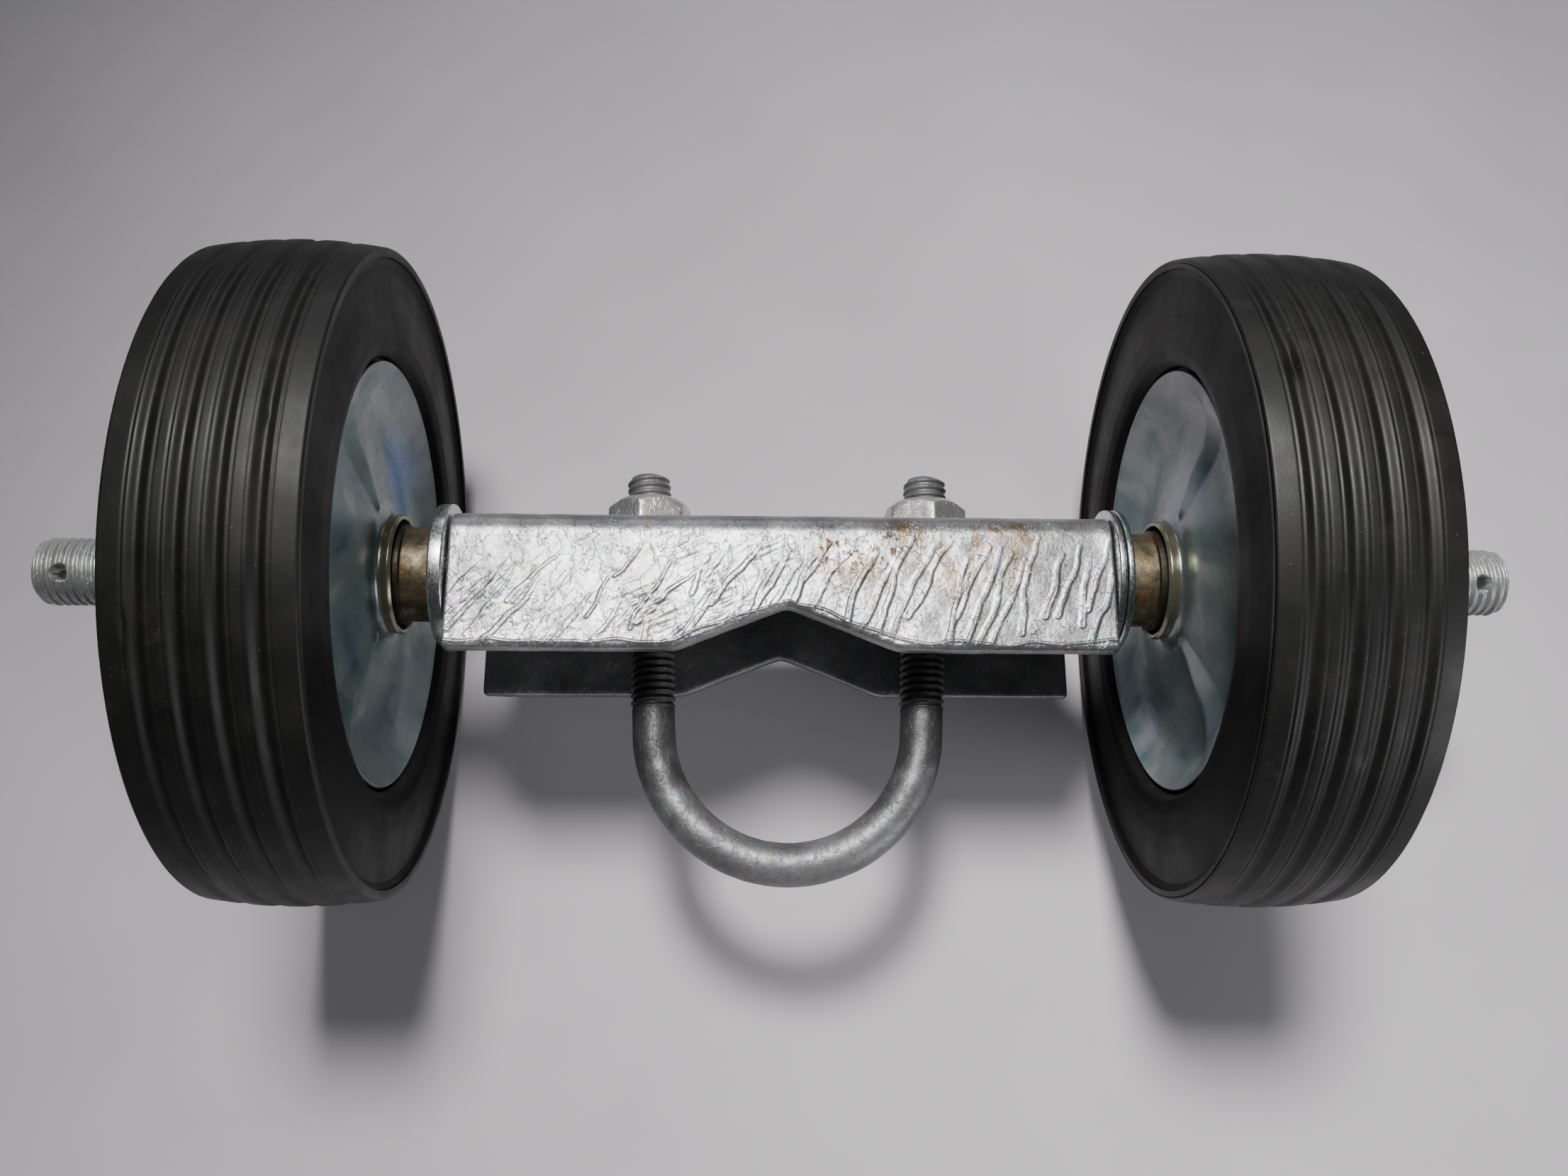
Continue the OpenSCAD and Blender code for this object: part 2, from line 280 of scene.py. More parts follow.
class Look:
    """One procedural material. Its noises are sized in millimetres on the object."""

    def __init__(self, name, metallic=0.0, roughness=0.5):
        self.material = bpy.data.materials.new(name)
        self.material.use_nodes = True
        self.tree = self.material.node_tree
        self.shader = self.tree.nodes["Principled BSDF"]
        self.shader.inputs["Metallic"].default_value = metallic
        self.shader.inputs["Roughness"].default_value = roughness
        coordinates = self.node("ShaderNodeTexCoord")
        self.place = self.vector("SCALE", coordinates.outputs["Object"], scale=1 / MM)

    def node(self, kind, **settings):
        made = self.tree.nodes.new(kind)
        for key, value in settings.items():
            setattr(made, key, value)
        return made

    def feed(self, socket, value):
        """Links a socket's value, or sets a constant."""
        if isinstance(value, bpy.types.NodeSocket):
            self.tree.links.new(value, socket)
        else:
            socket.default_value = value

    def vector(self, operation, a, b=None, scale=None):
        made = self.node("ShaderNodeVectorMath", operation=operation)
        self.feed(made.inputs[0], a)
        if b is not None:
            self.feed(made.inputs[1], b)
        if scale is not None:
            self.feed(made.inputs["Scale"], scale)
        return made.outputs["Value" if operation in ("LENGTH", "DISTANCE") else "Vector"]

    def math(self, operation, a, b=0.0):
        made = self.node("ShaderNodeMath", operation=operation)
        self.feed(made.inputs[0], a)
        self.feed(made.inputs[1], b)
        return made.outputs[0]

    def times(self, product, *others):
        for other in others:
            product = self.math("MULTIPLY", product, other)
        return product

    def range(self, value, low, high, to_low=0.0, to_high=1.0, smooth=False):
        made = self.node("ShaderNodeMapRange")
        if smooth:
            made.interpolation_type = "SMOOTHSTEP"
        for socket, number in zip(made.inputs, (value, low, high, to_low, to_high)):
            self.feed(socket, number)
        return made.outputs[0]

    def spread(self, value, low, high):
        """The usual range of a noise, mapped to low and high."""
        return self.range(value, NOISE_LOW, NOISE_HIGH, low, high)

    def band(self, value, rise, full, fade, end):
        """1 between full and fade, falling smoothly to 0 at rise and at end."""
        return self.times(self.range(value, rise, full, smooth=True),
                          self.range(value, end, fade, smooth=True))

    def noise(self, cell, detail=3.0, rough=0.55, stretch=(1, 1, 1), place=None, distortion=0.0):
        where = self.vector("MULTIPLY", place or self.place, tuple(1 / (cell * s) for s in stretch))
        made = self.node("ShaderNodeTexNoise")
        self.feed(made.inputs["Vector"], where)
        self.feed(made.inputs["Scale"], 1.0)
        self.feed(made.inputs["Detail"], detail)
        self.feed(made.inputs["Roughness"], rough)
        self.feed(made.inputs["Distortion"], distortion)
        return made.outputs[0]

    def cells(self, cell):
        """A random colour for each cell."""
        made = self.node("ShaderNodeTexVoronoi")
        self.feed(made.inputs["Vector"], self.vector("SCALE", self.place, scale=1 / cell))
        self.feed(made.inputs["Scale"], 1.0)
        return made.outputs["Color"]

    def two_tone(self, value, low, high):
        """From one colour to the other over the usual range of a noise."""
        return self.ramp(value, [(NOISE_LOW, low), (NOISE_HIGH, high)])

    def ramp(self, value, stops):
        made = self.node("ShaderNodeValToRGB")
        elements = made.color_ramp.elements
        while len(elements) < len(stops):
            elements.new(0.5)
        for element, (place, colour) in zip(elements, stops):
            element.position = place
            element.color = (*colour, 1)
        self.feed(made.inputs[0], value)
        return made.outputs["Color"]

    def mix(self, share, a, b, blend="MIX"):
        made = self.node("ShaderNodeMix", data_type="RGBA", blend_type=blend)
        for key, value in (("Factor_Float", share), ("A_Color", a), ("B_Color", b)):
            socket = next(s for s in made.inputs if s.identifier == key)
            self.feed(socket, (*value, 1) if isinstance(value, tuple) else value)
        return next(s for s in made.outputs if s.identifier == "Result_Color")

    def axis(self, which):
        made = self.node("ShaderNodeSeparateXYZ")
        self.feed(made.inputs[0], self.place)
        return made.outputs["XYZ".index(which)]

    def radius(self):
        """Distance from the axle's centre line."""
        low = self.vector("SUBTRACT", self.place, (0, 0, AXLE_Z))
        return self.vector("LENGTH", self.vector("MULTIPLY", low, (0, 1, 1)))

    def bump(self, *heights):
        """Each height is (socket, depth in millimetres, strength)."""
        last = None
        for value, depth, strength in heights:
            made = self.node("ShaderNodeBump")
            self.feed(made.inputs["Height"], value)
            self.feed(made.inputs["Distance"], depth * MM)
            self.feed(made.inputs["Strength"], strength)
            if last is not None:
                self.feed(made.inputs["Normal"], last)
            last = made.outputs[0]
        self.feed(self.shader.inputs["Normal"], last)

    def colour(self, value):
        self.feed(self.shader.inputs["Base Color"], value)

    def rough(self, value):
        self.feed(self.shader.inputs["Roughness"], value)


def galvanised(name, light, dark, low_rough, high_rough, metallic=0.65, stained=False, shaded_legs=False):
    """Hot-dip zinc: clouds, soft spangle, dark specks, a fine grain and thin ridges."""
    look = Look(name, metallic=metallic)
    fine = look.noise(0.9, detail=5, rough=0.65)
    base = look.two_tone(look.noise(14, detail=4), dark, light)
    base = look.mix(0.10, base, look.cells(1.7), "SOFT_LIGHT")
    specks = look.range(look.noise(1.3, detail=2), 0.68, 0.76)
    base = look.mix(look.times(specks, 0.45), base, SPECK_GREY)
    if stained:
        base = stains(look, base)
    # Painted shade darkens the U-bolt's legs
    if shaded_legs:
        base = painted_leg_shade(look, base)
    look.colour(base)
    look.rough(look.spread(fine, low_rough, high_rough))
    look.bump((fine, 0.14, 0.6), (look.noise(3.5, detail=3), 0.2, 0.4),
              (ridge_lines(look, 3.4), 0.10, 0.5))
    return look.material


def painted_leg_shade(look, base):
    """Painted shade on the U-bolt's legs, which catch no highlight there, fading out on the loop and on
    the thread tips.
    """
    y = look.axis("Y")
    uneven = look.math("ADD", y, look.spread(look.noise(6, detail=4), -7, 7))
    share = look.times(look.range(uneven, -60, -38, 0.0, 0.85, smooth=True), look.range(y, 8, -4))
    return look.mix(share, base, LEG_SHADE)


def ridge_lines(look, cell):
    """Thin wandering ridges, 1 on a ridge and 0 away from it."""
    wander = look.noise(cell, detail=4, rough=0.55, stretch=(1.0, 1.7, 1.0), distortion=0.8)
    off = look.math("ABSOLUTE", look.math("SUBTRACT", wander, 0.5))
    return look.range(off, 0.020, 0.0, smooth=True)


def stains(look, base):
    """Brown marks below the fold at the right of the middle, and thinner ones elsewhere."""
    x, y, z = (look.axis(a) for a in "XYZ")
    top = look.range(z, SADDLE_TOP - 2, SADDLE_TOP - 0.5)
    patch = look.range(look.noise(9, detail=5, rough=0.65, stretch=(0.8, 1.4, 1)), 0.44, 0.60)
    share = look.times(look.band(x, 2, 12, 54, 68), look.range(y, -14, 0, smooth=True), top, patch, 0.85)
    base = look.mix(share, base, RUST_BROWN)
    spots = look.range(look.noise(1.8, detail=3, stretch=(0.7, 1.3, 1)), 0.54, 0.60)
    share = look.times(look.band(y, -5, 0, 6, 9), look.band(x, 3, 10, 26, 36), spots, top)
    base = look.mix(share, base, SPOT_BROWN)
    wide = look.range(look.noise(22, detail=5, rough=0.7), 0.54, 0.68)
    return look.mix(look.times(wide, 0.45), base, DUST_BROWN)


def bright_zinc(name, tint):
    """Zinc plate on turned or pressed steel."""
    look = Look(name, metallic=1.0)
    scratches = look.noise(0.8, detail=4, stretch=(0.35, 1, 1))
    dark = tuple(0.6 * c for c in tint)
    look.colour(look.ramp(look.noise(7, detail=4), [(0.25, dark), (0.65, tint)]))
    look.rough(look.spread(scratches, 0.2, 0.4))
    look.bump((scratches, 0.05, 0.4), (look.noise(0.35, detail=2), 0.03, 0.4))
    return look.material


def blue_plate(name):
    """Satin blue-green zinc plate in clouds, shiny at the neck and yellow at the collar."""
    look = Look(name)
    cloud = look.noise(17, detail=3, distortion=0.6)
    base = look.ramp(cloud, PLATE_CLOUDS)
    tint = look.range(look.noise(26, detail=2), 0.5, 0.68)
    base = look.mix(look.times(tint, 0.45), base, PLATE_LILAC)
    blue = look.range(look.vector("DISTANCE", look.place, BLUE_SPOT), 20, 7, smooth=True)
    fleck = look.range(look.noise(0.7, detail=3), 0.35, 0.6, 0.35, 1.0)
    base = look.mix(look.times(blue, fleck, 0.8), base, PLATE_BLUE)
    r, out = look.radius(), from_wheel(look)
    collar = look.times(look.range(r, 15.6, 15.0, smooth=True),
                        look.range(out, DISC_TOP + 1.2, DISC_TOP + 2.2, smooth=True))
    base = look.mix(collar, base, PLATE_YELLOW)
    neck = look.times(look.range(r, 20.0, 16.0, smooth=True),
                      look.range(out, DISC_TOP - 0.6, DISC_TOP + 0.6, smooth=True))
    look.feed(look.shader.inputs["Metallic"], look.range(neck, 0, 1, 0.30, 0.80))
    grime = look.range(look.noise(5, detail=5, rough=0.7), 0.60, 0.74)
    look.colour(look.mix(look.times(grime, 0.5), base, PLATE_GRIME))
    satin = look.spread(look.noise(2.2, detail=5), 0.25, 0.40)
    look.rough(look.math("SUBTRACT", satin, look.times(neck, 0.05)))
    rings = look.noise(1.2, detail=3, place=ring_place(look))
    off_neck = look.math("SUBTRACT", 1.0, neck)
    look.bump((look.times(rings, off_neck), 0.04, 0.25), (look.noise(0.6, detail=3), 0.03, 0.4),
              (look.times(cloud, off_neck), 1.2, 0.35))
    return look.material


def ring_place(look):
    """Coordinates that hardly change round the axle, so that noise on them runs in rings."""
    made = look.node("ShaderNodeCombineXYZ")
    parts = (look.axis("X"), look.radius(), look.times(look.axis("Y"), 0.02))
    for socket, value in zip(made.inputs, parts):
        look.feed(socket, value)
    return made.outputs[0]


def from_wheel(look):
    """Distance along the axle from the middle plane of the nearer wheel."""
    away = look.math("SUBTRACT", look.math("ABSOLUTE", look.axis("X")), WHEEL_X)
    return look.math("ABSOLUTE", away)


def golden_plate(name):
    """Yellow zinc plate, browned and rusty in places, with painted shade on its ring beside the collar's
    lip.
    """
    look = Look(name, metallic=0.9)
    cloud = look.noise(4.5, detail=5, rough=0.65)
    base = look.ramp(cloud, GOLDEN_CLOUDS)
    rust = look.range(look.noise(3.2, detail=5, rough=0.7, stretch=(1, 1.3, 1)), 0.54, 0.64)
    base = look.mix(look.times(rust, 0.8), base, ORANGE_RUST)
    # Painted shade in the gap beside the collar's lip, on the sleeve's ring
    gap_shade = look.range(from_wheel(look), COLLAR_END + 1.9, COLLAR_END + 0.9, smooth=True)
    look.colour(look.mix(look.times(gap_shade, 0.85), base, COLLAR_GAP_SHADE))
    look.rough(look.spread(cloud, 0.66, 0.44))
    look.bump((look.noise(0.7, detail=4), 0.10, 0.6), (rust, 0.12, 0.4))
    return look.material


def bronze(name):
    """Plain bearing bronze, turned."""
    look = Look(name, metallic=1.0)
    rings = look.noise(0.5, detail=3, place=ring_place(look))
    look.colour(look.two_tone(look.noise(5), (0.32, 0.20, 0.09), (0.55, 0.38, 0.18)))
    look.rough(look.spread(rings, 0.30, 0.5))
    look.bump((rings, 0.04, 0.5))
    return look.material


def rubber(name):
    """Moulded black rubber with fine rings, dust and pale specks, glossier on the tread."""
    look = Look(name)
    tread_share = look.range(look.radius(), WHEEL_R - 4, WHEEL_R - 2.4)
    look.feed(look.shader.inputs["Specular IOR Level"], look.range(tread_share, 0, 1, 0.11, 0.35))
    rings = look.noise(1.6, detail=2, rough=0.45, place=ring_place(look))
    cloud = look.noise(16, detail=5, rough=0.6)
    base = look.two_tone(cloud, *RUBBER_TONES)
    dust = look.range(look.noise(7, detail=6, rough=0.7), 0.55, 0.75)
    base = look.mix(look.times(dust, 0.30), base, TYRE_DUST)
    specks = look.range(look.noise(0.7, detail=2), 0.72, 0.77)
    look.colour(look.mix(look.times(specks, 0.5), base, TYRE_SPECK))
    streak = look.math("ADD", look.times(rings, 0.12), look.times(cloud, 0.88))
    look.rough(look.range(streak, 0.35, 0.65, 0.45, 0.60))
    look.bump((rings, 0.015, 0.2), (look.noise(0.5, detail=3), 0.05, 0.5))
    return look.material


def pale_floor(name):
    """Plain pale table top with a faint tooth."""
    look = Look(name, roughness=0.8)
    look.feed(look.shader.inputs["Specular IOR Level"], 0.15)
    look.colour(look.two_tone(look.noise(60, detail=3), (0.50, 0.475, 0.50), (0.54, 0.515, 0.54)))
    look.bump((look.noise(0.8, detail=2), 0.03, 0.25))
    return look.material


GALVANISED = galvanised("galvanised", (0.37, 0.37, 0.375), (0.17, 0.175, 0.18), 0.24, 0.42,
                        metallic=0.8, stained=True)
NUT_ZINC = galvanised("galvanised_nuts", (0.66, 0.64, 0.62), (0.44, 0.43, 0.42), 0.28, 0.44,
                      metallic=0.85)
# This zinc carries painted shade on the U-bolt's legs
DULL_ZINC = galvanised("dull_galvanised", (0.27, 0.27, 0.275), (0.12, 0.12, 0.124), 0.38, 0.58,
                       shaded_legs=True)
AXLE_ZINC = galvanised("galvanised_axle", (0.48, 0.49, 0.48), (0.28, 0.29, 0.28), 0.28, 0.46)
WASHER_ZINC = bright_zinc("washer_zinc", (0.66, 0.68, 0.67))
SPACER_ZINC = bright_zinc("spacer_zinc", (0.50, 0.56, 0.56))
BLUE_PLATE = blue_plate("blue_zinc_plate")
GOLDEN = golden_plate("yellow_zinc_plate")
BRONZE = bronze("bush_bronze")
RUBBER = rubber("tyre_rubber")


# ---- saddle ----

NOTCH_SOFT = 0.35
EDGE_ROUND = 1.3
END_BEVEL = 0.6
SKIN_STEP = 0.25
FLANGE_POINTS = 150
FOLD_POINTS = 16
MOST_LIFT = 0.55

# Zinc runs on the upper flange, crisp to the right of CRISP_FROM, a share of its length. Each kind
# has ranges for its first y, length, half width, strength and gap to the next run.
RUN_SEED = 11
RUN_STEP = 0.5
CRISP_FROM = 0.45
THIN_RUNS = {"start": (-12.0, 5.0), "length": (8, 24), "half": (0.10, 0.40),
             "strength": (0.3, 0.75), "gap": (0.9, 3.6)}
CRISP_RUNS = {"start": (0.0, 6.5), "length": (14, 33), "half": (0.30, 0.52),
              "strength": (0.5, 1.1), "gap": (2.0, 5.5)}
RIM_HEIGHT = 0.22
RIM_WIDTH = 0.22
STREAM_HEIGHT = 0.06


def notch(x):
    """How far the free edge steps back at x, for the V notch with slightly soft corners."""
    depth = NOTCH_DEPTH * (1 - np.abs(x - NOTCH_X) / NOTCH_HALF)
    depth = NOTCH_SOFT * np.logaddexp(0, depth / NOTCH_SOFT)
    peak = NOTCH_DEPTH - 0.15
    return peak - NOTCH_SOFT * np.logaddexp(0, (peak - depth) / NOTCH_SOFT)


def free_edge(x):
    """Y of the flanges' free edge at x, with the channel's corners rounded off."""
    past = np.clip(np.abs(x) - (SADDLE_HALF - CORNER_R), 0, CORNER_R)
    return FREE_EDGE + notch(x) + CORNER_R - np.sqrt(CORNER_R ** 2 - past ** 2)


def zinc_runs():
    """Paths (x, y) of the runs that the zinc left, each with its half width and strength."""
    rng = np.random.default_rng(RUN_SEED)
    runs = []
    x = -SADDLE_HALF + 3
    while x < SADDLE_HALF + 6:
        along = (x + SADDLE_HALF) / (2 * SADDLE_HALF)
        kind = CRISP_RUNS if along > CRISP_FROM else THIN_RUNS
        lean = math.radians(50 + 20 * along + rng.uniform(-5, 5))
        here = np.array([x, rng.uniform(*kind["start"])])
        steps = int(rng.uniform(*kind["length"]) / RUN_STEP)
        heading = lean
        path = []
        for _ in range(steps):
            path.append(here)
            heading += rng.normal(0, 0.085) + 0.15 * (lean - heading)
            here = here - RUN_STEP * np.array([math.cos(heading), math.sin(heading)])
        runs.append((np.array(path), rng.uniform(*kind["half"]), rng.uniform(*kind["strength"])))
        x += rng.uniform(*kind["gap"])
    return runs


def run_heights(x, y):
    """Height of the zinc runs at points of the upper flange: a low stream between two thin rims."""
    height = np.zeros_like(x)
    for path, half, strength in zinc_runs():
        for k, (a, b) in enumerate(zip(path[:-1], path[1:])):
            share = k / len(path)
            width = half * (0.7 + 0.6 * share + 0.5 * smooth_step((share - 0.9) / 0.08))
            reach = width + 0.9
            near = (x > min(a[0], b[0]) - reach) & (x < max(a[0], b[0]) + reach)
            near &= (y > min(a[1], b[1]) - reach) & (y < max(a[1], b[1]) + reach)
            px, py = x[near] - a[0], y[near] - a[1]
            d = b - a
            t = np.clip((px * d[0] + py * d[1]) / (d @ d), 0, 1)
            distance = np.hypot(px - t * d[0], py - t * d[1])
            rim = RIM_HEIGHT * np.exp(-((distance - width) / RIM_WIDTH) ** 2)
            stream = STREAM_HEIGHT * smooth_step((width + 0.3 - distance) / 0.6)
            fade = strength * min(1, 0.35 + 1.6 * share)
            height[near] = np.maximum(height[near], fade * (rim + stream))
    return height


def flange_relief(x, y):
    """All relief on the upper flange's outer face: runs, wrinkles, waves and a bead by the edge."""
    none = np.zeros_like(x)
    points = np.stack([x, y, none], axis=-1)
    relief = run_heights(x, y)
    grain = np.stack([x * 0.87 + y * 0.5, (y * 0.87 - x * 0.5) * 2.6, none], axis=-1)
    wrinkle = waves(grain, 2.4, 21) * waves(points, 11, 22)
    relief += 0.04 * wrinkle * smooth_step((12 - x) / 50 + 0.4)
    relief += 0.04 * waves(points, 5, 23)
    edge = y - free_edge(x)
    bead = 1.7 + 0.5 * waves(np.stack([x, none, none], axis=-1), 6, 24)
    relief += 0.20 * np.exp(-((edge - bead) / 0.34) ** 2)
    return relief * smooth_step((edge - 0.1) / 0.8)


def channel_rings(x):
    """Outline points (Y, Z) of the channel at each x, as (len(x), n, 2), with outward normals."""
    rows = []
    normals = []
    flat = np.ones_like(x)

    def straight(y0, z0, y1, z1, count, ny, nz):
        for t in np.linspace(0, 1, count, endpoint=False):
            rows.append((flat * (y0 + (y1 - y0) * t), flat * (z0 + (z1 - z0) * t)))
            normals.append((ny, nz))

    def arc(cy, cz, r, start, end, count, outward=1):
        for a in np.radians(np.linspace(start, end, count, endpoint=False)):
            rows.append((flat * (cy + r * math.cos(a)), flat * (cz + r * math.sin(a))))
            normals.append((outward * math.cos(a), outward * math.sin(a)))

    top, low = SADDLE_TOP, SADDLE_FLOOR
    under_top, over_low = top - SHEET_T, low + SHEET_T
    edge = free_edge(x)
    rounded = edge + EDGE_ROUND
    fold_y = WEB_OUTER - FOLD_R
    inner_r = FOLD_R - SHEET_T
    inner_y = WEB_OUTER - SHEET_T
    straight(rounded, top, fold_y, top, FLANGE_POINTS, 0, 1)
    arc(fold_y, top - FOLD_R, FOLD_R, 90, 0, FOLD_POINTS)
    straight(WEB_OUTER, top - FOLD_R, WEB_OUTER, low + FOLD_R, 64, 1, 0)
    arc(fold_y, low + FOLD_R, FOLD_R, 0, -90, 12)
    straight(fold_y, low, rounded, low, 40, 0, -1)
    arc(rounded, low + EDGE_ROUND, EDGE_ROUND, -90, -180, 4)
    straight(edge, low + EDGE_ROUND, edge, over_low - EDGE_ROUND, 5, -1, 0)
    arc(rounded, over_low - EDGE_ROUND, EDGE_ROUND, 180, 90, 4)
    straight(rounded, over_low, fold_y, over_low, 34, 0, 1)
    arc(fold_y, over_low + inner_r, inner_r, -90, 0, 4, outward=-1)
    straight(inner_y, over_low + inner_r, inner_y, under_top - inner_r, 40, -1, 0)
    arc(fold_y, under_top - inner_r, inner_r, 0, 90, 4, outward=-1)
    straight(fold_y, under_top, rounded, under_top, 34, 0, -1)
    arc(rounded, under_top + EDGE_ROUND, EDGE_ROUND, -90, -180, 4)
    straight(edge, under_top + EDGE_ROUND, edge, top - EDGE_ROUND, 5, -1, 0)
    arc(rounded, top - EDGE_ROUND, EDGE_ROUND, 180, 90, 4)
    outline = np.stack([np.stack([y, z], axis=-1) for y, z in rows], axis=1)
    return outline, np.broadcast_to(np.array(normals, float), outline.shape)


def zinc_lift(points, outline):
    """How far the zinc stands out of the channel's skin at each point."""
    shape = outline.shape[:2]
    lift = (0.06 * waves(points, 9, 31) + 0.03 * waves(points, 3.2, 32)).reshape(shape)
    flange = np.s_[:, :FLANGE_POINTS + FOLD_POINTS]
    y = outline[flange][..., 0]
    x = points[:, 0].reshape(shape)[flange]
    relief = flange_relief(x.ravel(), y.ravel()).reshape(y.shape)
    folded = np.clip(y - (WEB_OUTER - FOLD_R), 0, None) / FOLD_R
    lift[flange] += relief * (1 - smooth_step(folded * 1.3))
    drips = waves(points * np.array([1, 0.25, 0.25]), 4.0, 33).reshape(shape)
    lift += 0.05 * np.clip(drips - 0.6, 0, None)
    return np.minimum(lift, MOST_LIFT)


def rounded_end(ring, outward, side):
    """Rings that round off one end of the channel, starting from its last full ring."""
    rings = []
    for turn in np.radians([30, 60, 85]):
        smaller = ring.copy()
        smaller[:, 0] += side * END_BEVEL * math.sin(turn)
        smaller[:, 1:] -= outward * END_BEVEL * (1 - math.cos(turn))
        rings.append(smaller)
    return rings


def make_saddle():
    """The folded channel, one closed mesh with the zinc's runs and waves in its surface."""
    reach = SADDLE_HALF - END_BEVEL
    along = np.linspace(-reach, reach, int(2 * reach / SKIN_STEP))
    along = np.sort(np.append(along, NOTCH_X))
    outline, outward = channel_rings(along)
    x = np.repeat(along[:, None], outline.shape[1], axis=1)
    bare = np.concatenate([x[..., None], outline], axis=-1)
    rings = bare.copy()
    rings[..., 1:] += zinc_lift(bare.reshape(-1, 3), outline)[..., None] * outward
    left = rounded_end(rings[0], outward[0], -1)
    right = rounded_end(rings[-1], outward[-1], 1)
    shape = Shape()
    shape.tube(np.concatenate([left[::-1], rings, right]))
    piece = shape.make("saddle", "carrier", GALVANISED, ["saddle_channel"], sharp=60)
    for side in SIDES.values():
        drill(piece, (leg_x(side, WEB_OUTER - SHEET_T / 2), WEB_OUTER, CLAMP_Z), (0, 1, 0),
              LEG_HOLE_R, 3 * SHEET_T)


def drill(piece, place, direction, radius, length):
    """Cuts a round hole through a piece and applies it."""
    shape = Shape()
    axis = Vector(direction).normalized()
    side = axis.orthogonal().normalized()
    other = axis.cross(side)
    angles = np.linspace(0, 2 * math.pi, 48, endpoint=False)
    rings = [[np.array(place) + np.array(axis) * t
              + radius * (math.cos(a) * np.array(side) + math.sin(a) * np.array(other))
              for a in angles] for t in (-length / 2, length / 2)]
    shape.tube(np.array(rings))
    cutter = shape.make("cutter", "carrier", piece.data.materials[0])
    cut = piece.modifiers.new("hole", "BOOLEAN")
    cut.operation = "DIFFERENCE"
    cut.solver = "EXACT"
    cut.object = cutter
    bpy.context.view_layer.update()
    done = bpy.data.meshes.new_from_object(piece.evaluated_get(bpy.context.evaluated_depsgraph_get()))
    piece.modifiers.remove(cut)
    piece.data = done
    bpy.data.objects.remove(cutter)


# ---- threaded rods ----

# How far the middle of a rod's end face stands out
END_DOME = 0.12


def thread_wave(turns):
    """0 on a thread's crest and 1 at its root, for a position counted in turns."""
    t = np.abs((turns % 1.0) - 0.5) * 2
    flank = np.clip((t - 0.12) / 0.70, 0, 1)
    return (flank + smooth_step(flank)) / 2


def rod(path, tangent, radius, depth, pitch, name, material, replaces, grain, segments=56):
    """A round rod along path, with right-hand threads as deep as depth says at each ring.
    Radius and depth have one value for each ring, and the path lies level."""
    tangent = tangent / np.linalg.norm(tangent, axis=1, keepdims=True)
    across = np.cross([0.0, 0.0, 1.0], tangent)
    across /= np.linalg.norm(across, axis=1, keepdims=True)
    lift = np.cross(tangent, across)
    angles = np.linspace(0, 2 * math.pi, segments, endpoint=False)
    turns = travelled(path)[:, None] / pitch - angles[None] / (2 * math.pi)
    reach = radius[:, None] - depth[:, None] * thread_wave(turns)
    around = angles[None, :, None]
    ring = across[:, None] * np.cos(around) + lift[:, None] * np.sin(around)
    points = path[:, None] + reach[..., None] * ring
    flat = points.reshape(-1, 3)
    rough = grain * (waves(flat, 3.0, 41) + 0.6 * waves(flat, 1.1, 42)).reshape(reach.shape)
    points = points + np.minimum(rough, 0)[..., None] * ring
    shape = Shape()
    numbers = shape.add(points)
    shape.skin(numbers)
    for end, outwards in ((0, -1), (-1, 1)):
        middle = path[end] + tangent[end] * END_DOME * outwards
        face = shape.add(middle + (points[end] - path[end]) * 0.55)
        shape.skin(np.stack([numbers[end], face]))
        shape.cap(face)
    return shape.make(name, "carrier", material, replaces, sharp=50)


def travelled(path):
    """Length of a path up to each of its points."""
    return np.concatenate([[0], np.cumsum(np.linalg.norm(np.diff(path, axis=0), axis=1))])


def end_cut(travel, total, length, drop):
    """How much a rod's radius falls towards its two ends, as a rounded chamfer."""
    gap = np.minimum(travel, total - travel)
    t = np.clip(1 - gap / length, 0, 1)
    return drop * (1 - np.sqrt(1 - 0.98 * t ** 2))


def leg_x(side, y):
    """X of a U-bolt leg's middle at y."""
    root_x = LOOP_R * math.cos(LEG_SPLAY)
    return CLAMP_X + side * (root_x + (y - ROOT_Y) * math.tan(LEG_SPLAY))


def make_u_bolt():
    """The bent rod with a thread cut on both legs."""
    y = np.linspace(LEG_TIP, ROOT_Y, int((LEG_TIP - ROOT_Y) / (CLAMP_PITCH / 12)), endpoint=False)
    left, right = (np.stack([leg_x(side, y), y, np.full_like(y, CLAMP_Z)], axis=-1) for side in (-1, 1))
    angles = np.linspace(math.pi + LEG_SPLAY, 2 * math.pi - LEG_SPLAY, 120)
    loop = np.stack([CLAMP_X + LOOP_R * np.cos(angles), LOOP_Y + LOOP_R * np.sin(angles),
                     np.full_like(angles, CLAMP_Z)], axis=-1)
    path = np.concatenate([left, loop, right[::-1]])
    on_leg = np.ones(len(path), bool)
    on_leg[len(left):len(left) + len(loop)] = False
    threaded = smooth_step((path[:, 1] - THREAD_END) / 1.6) * on_leg
    travel = travelled(path)
    radius = ROD_R + (THREAD_R - ROD_R) * threaded - end_cut(travel, travel[-1], 2.2, 1.6)
    rod(path, np.gradient(path, axis=0), radius, CLAMP_THREAD_DEPTH * threaded, CLAMP_PITCH,
        "u_bolt_rod", DULL_ZINC, ["u_bolt"], grain=0.045)


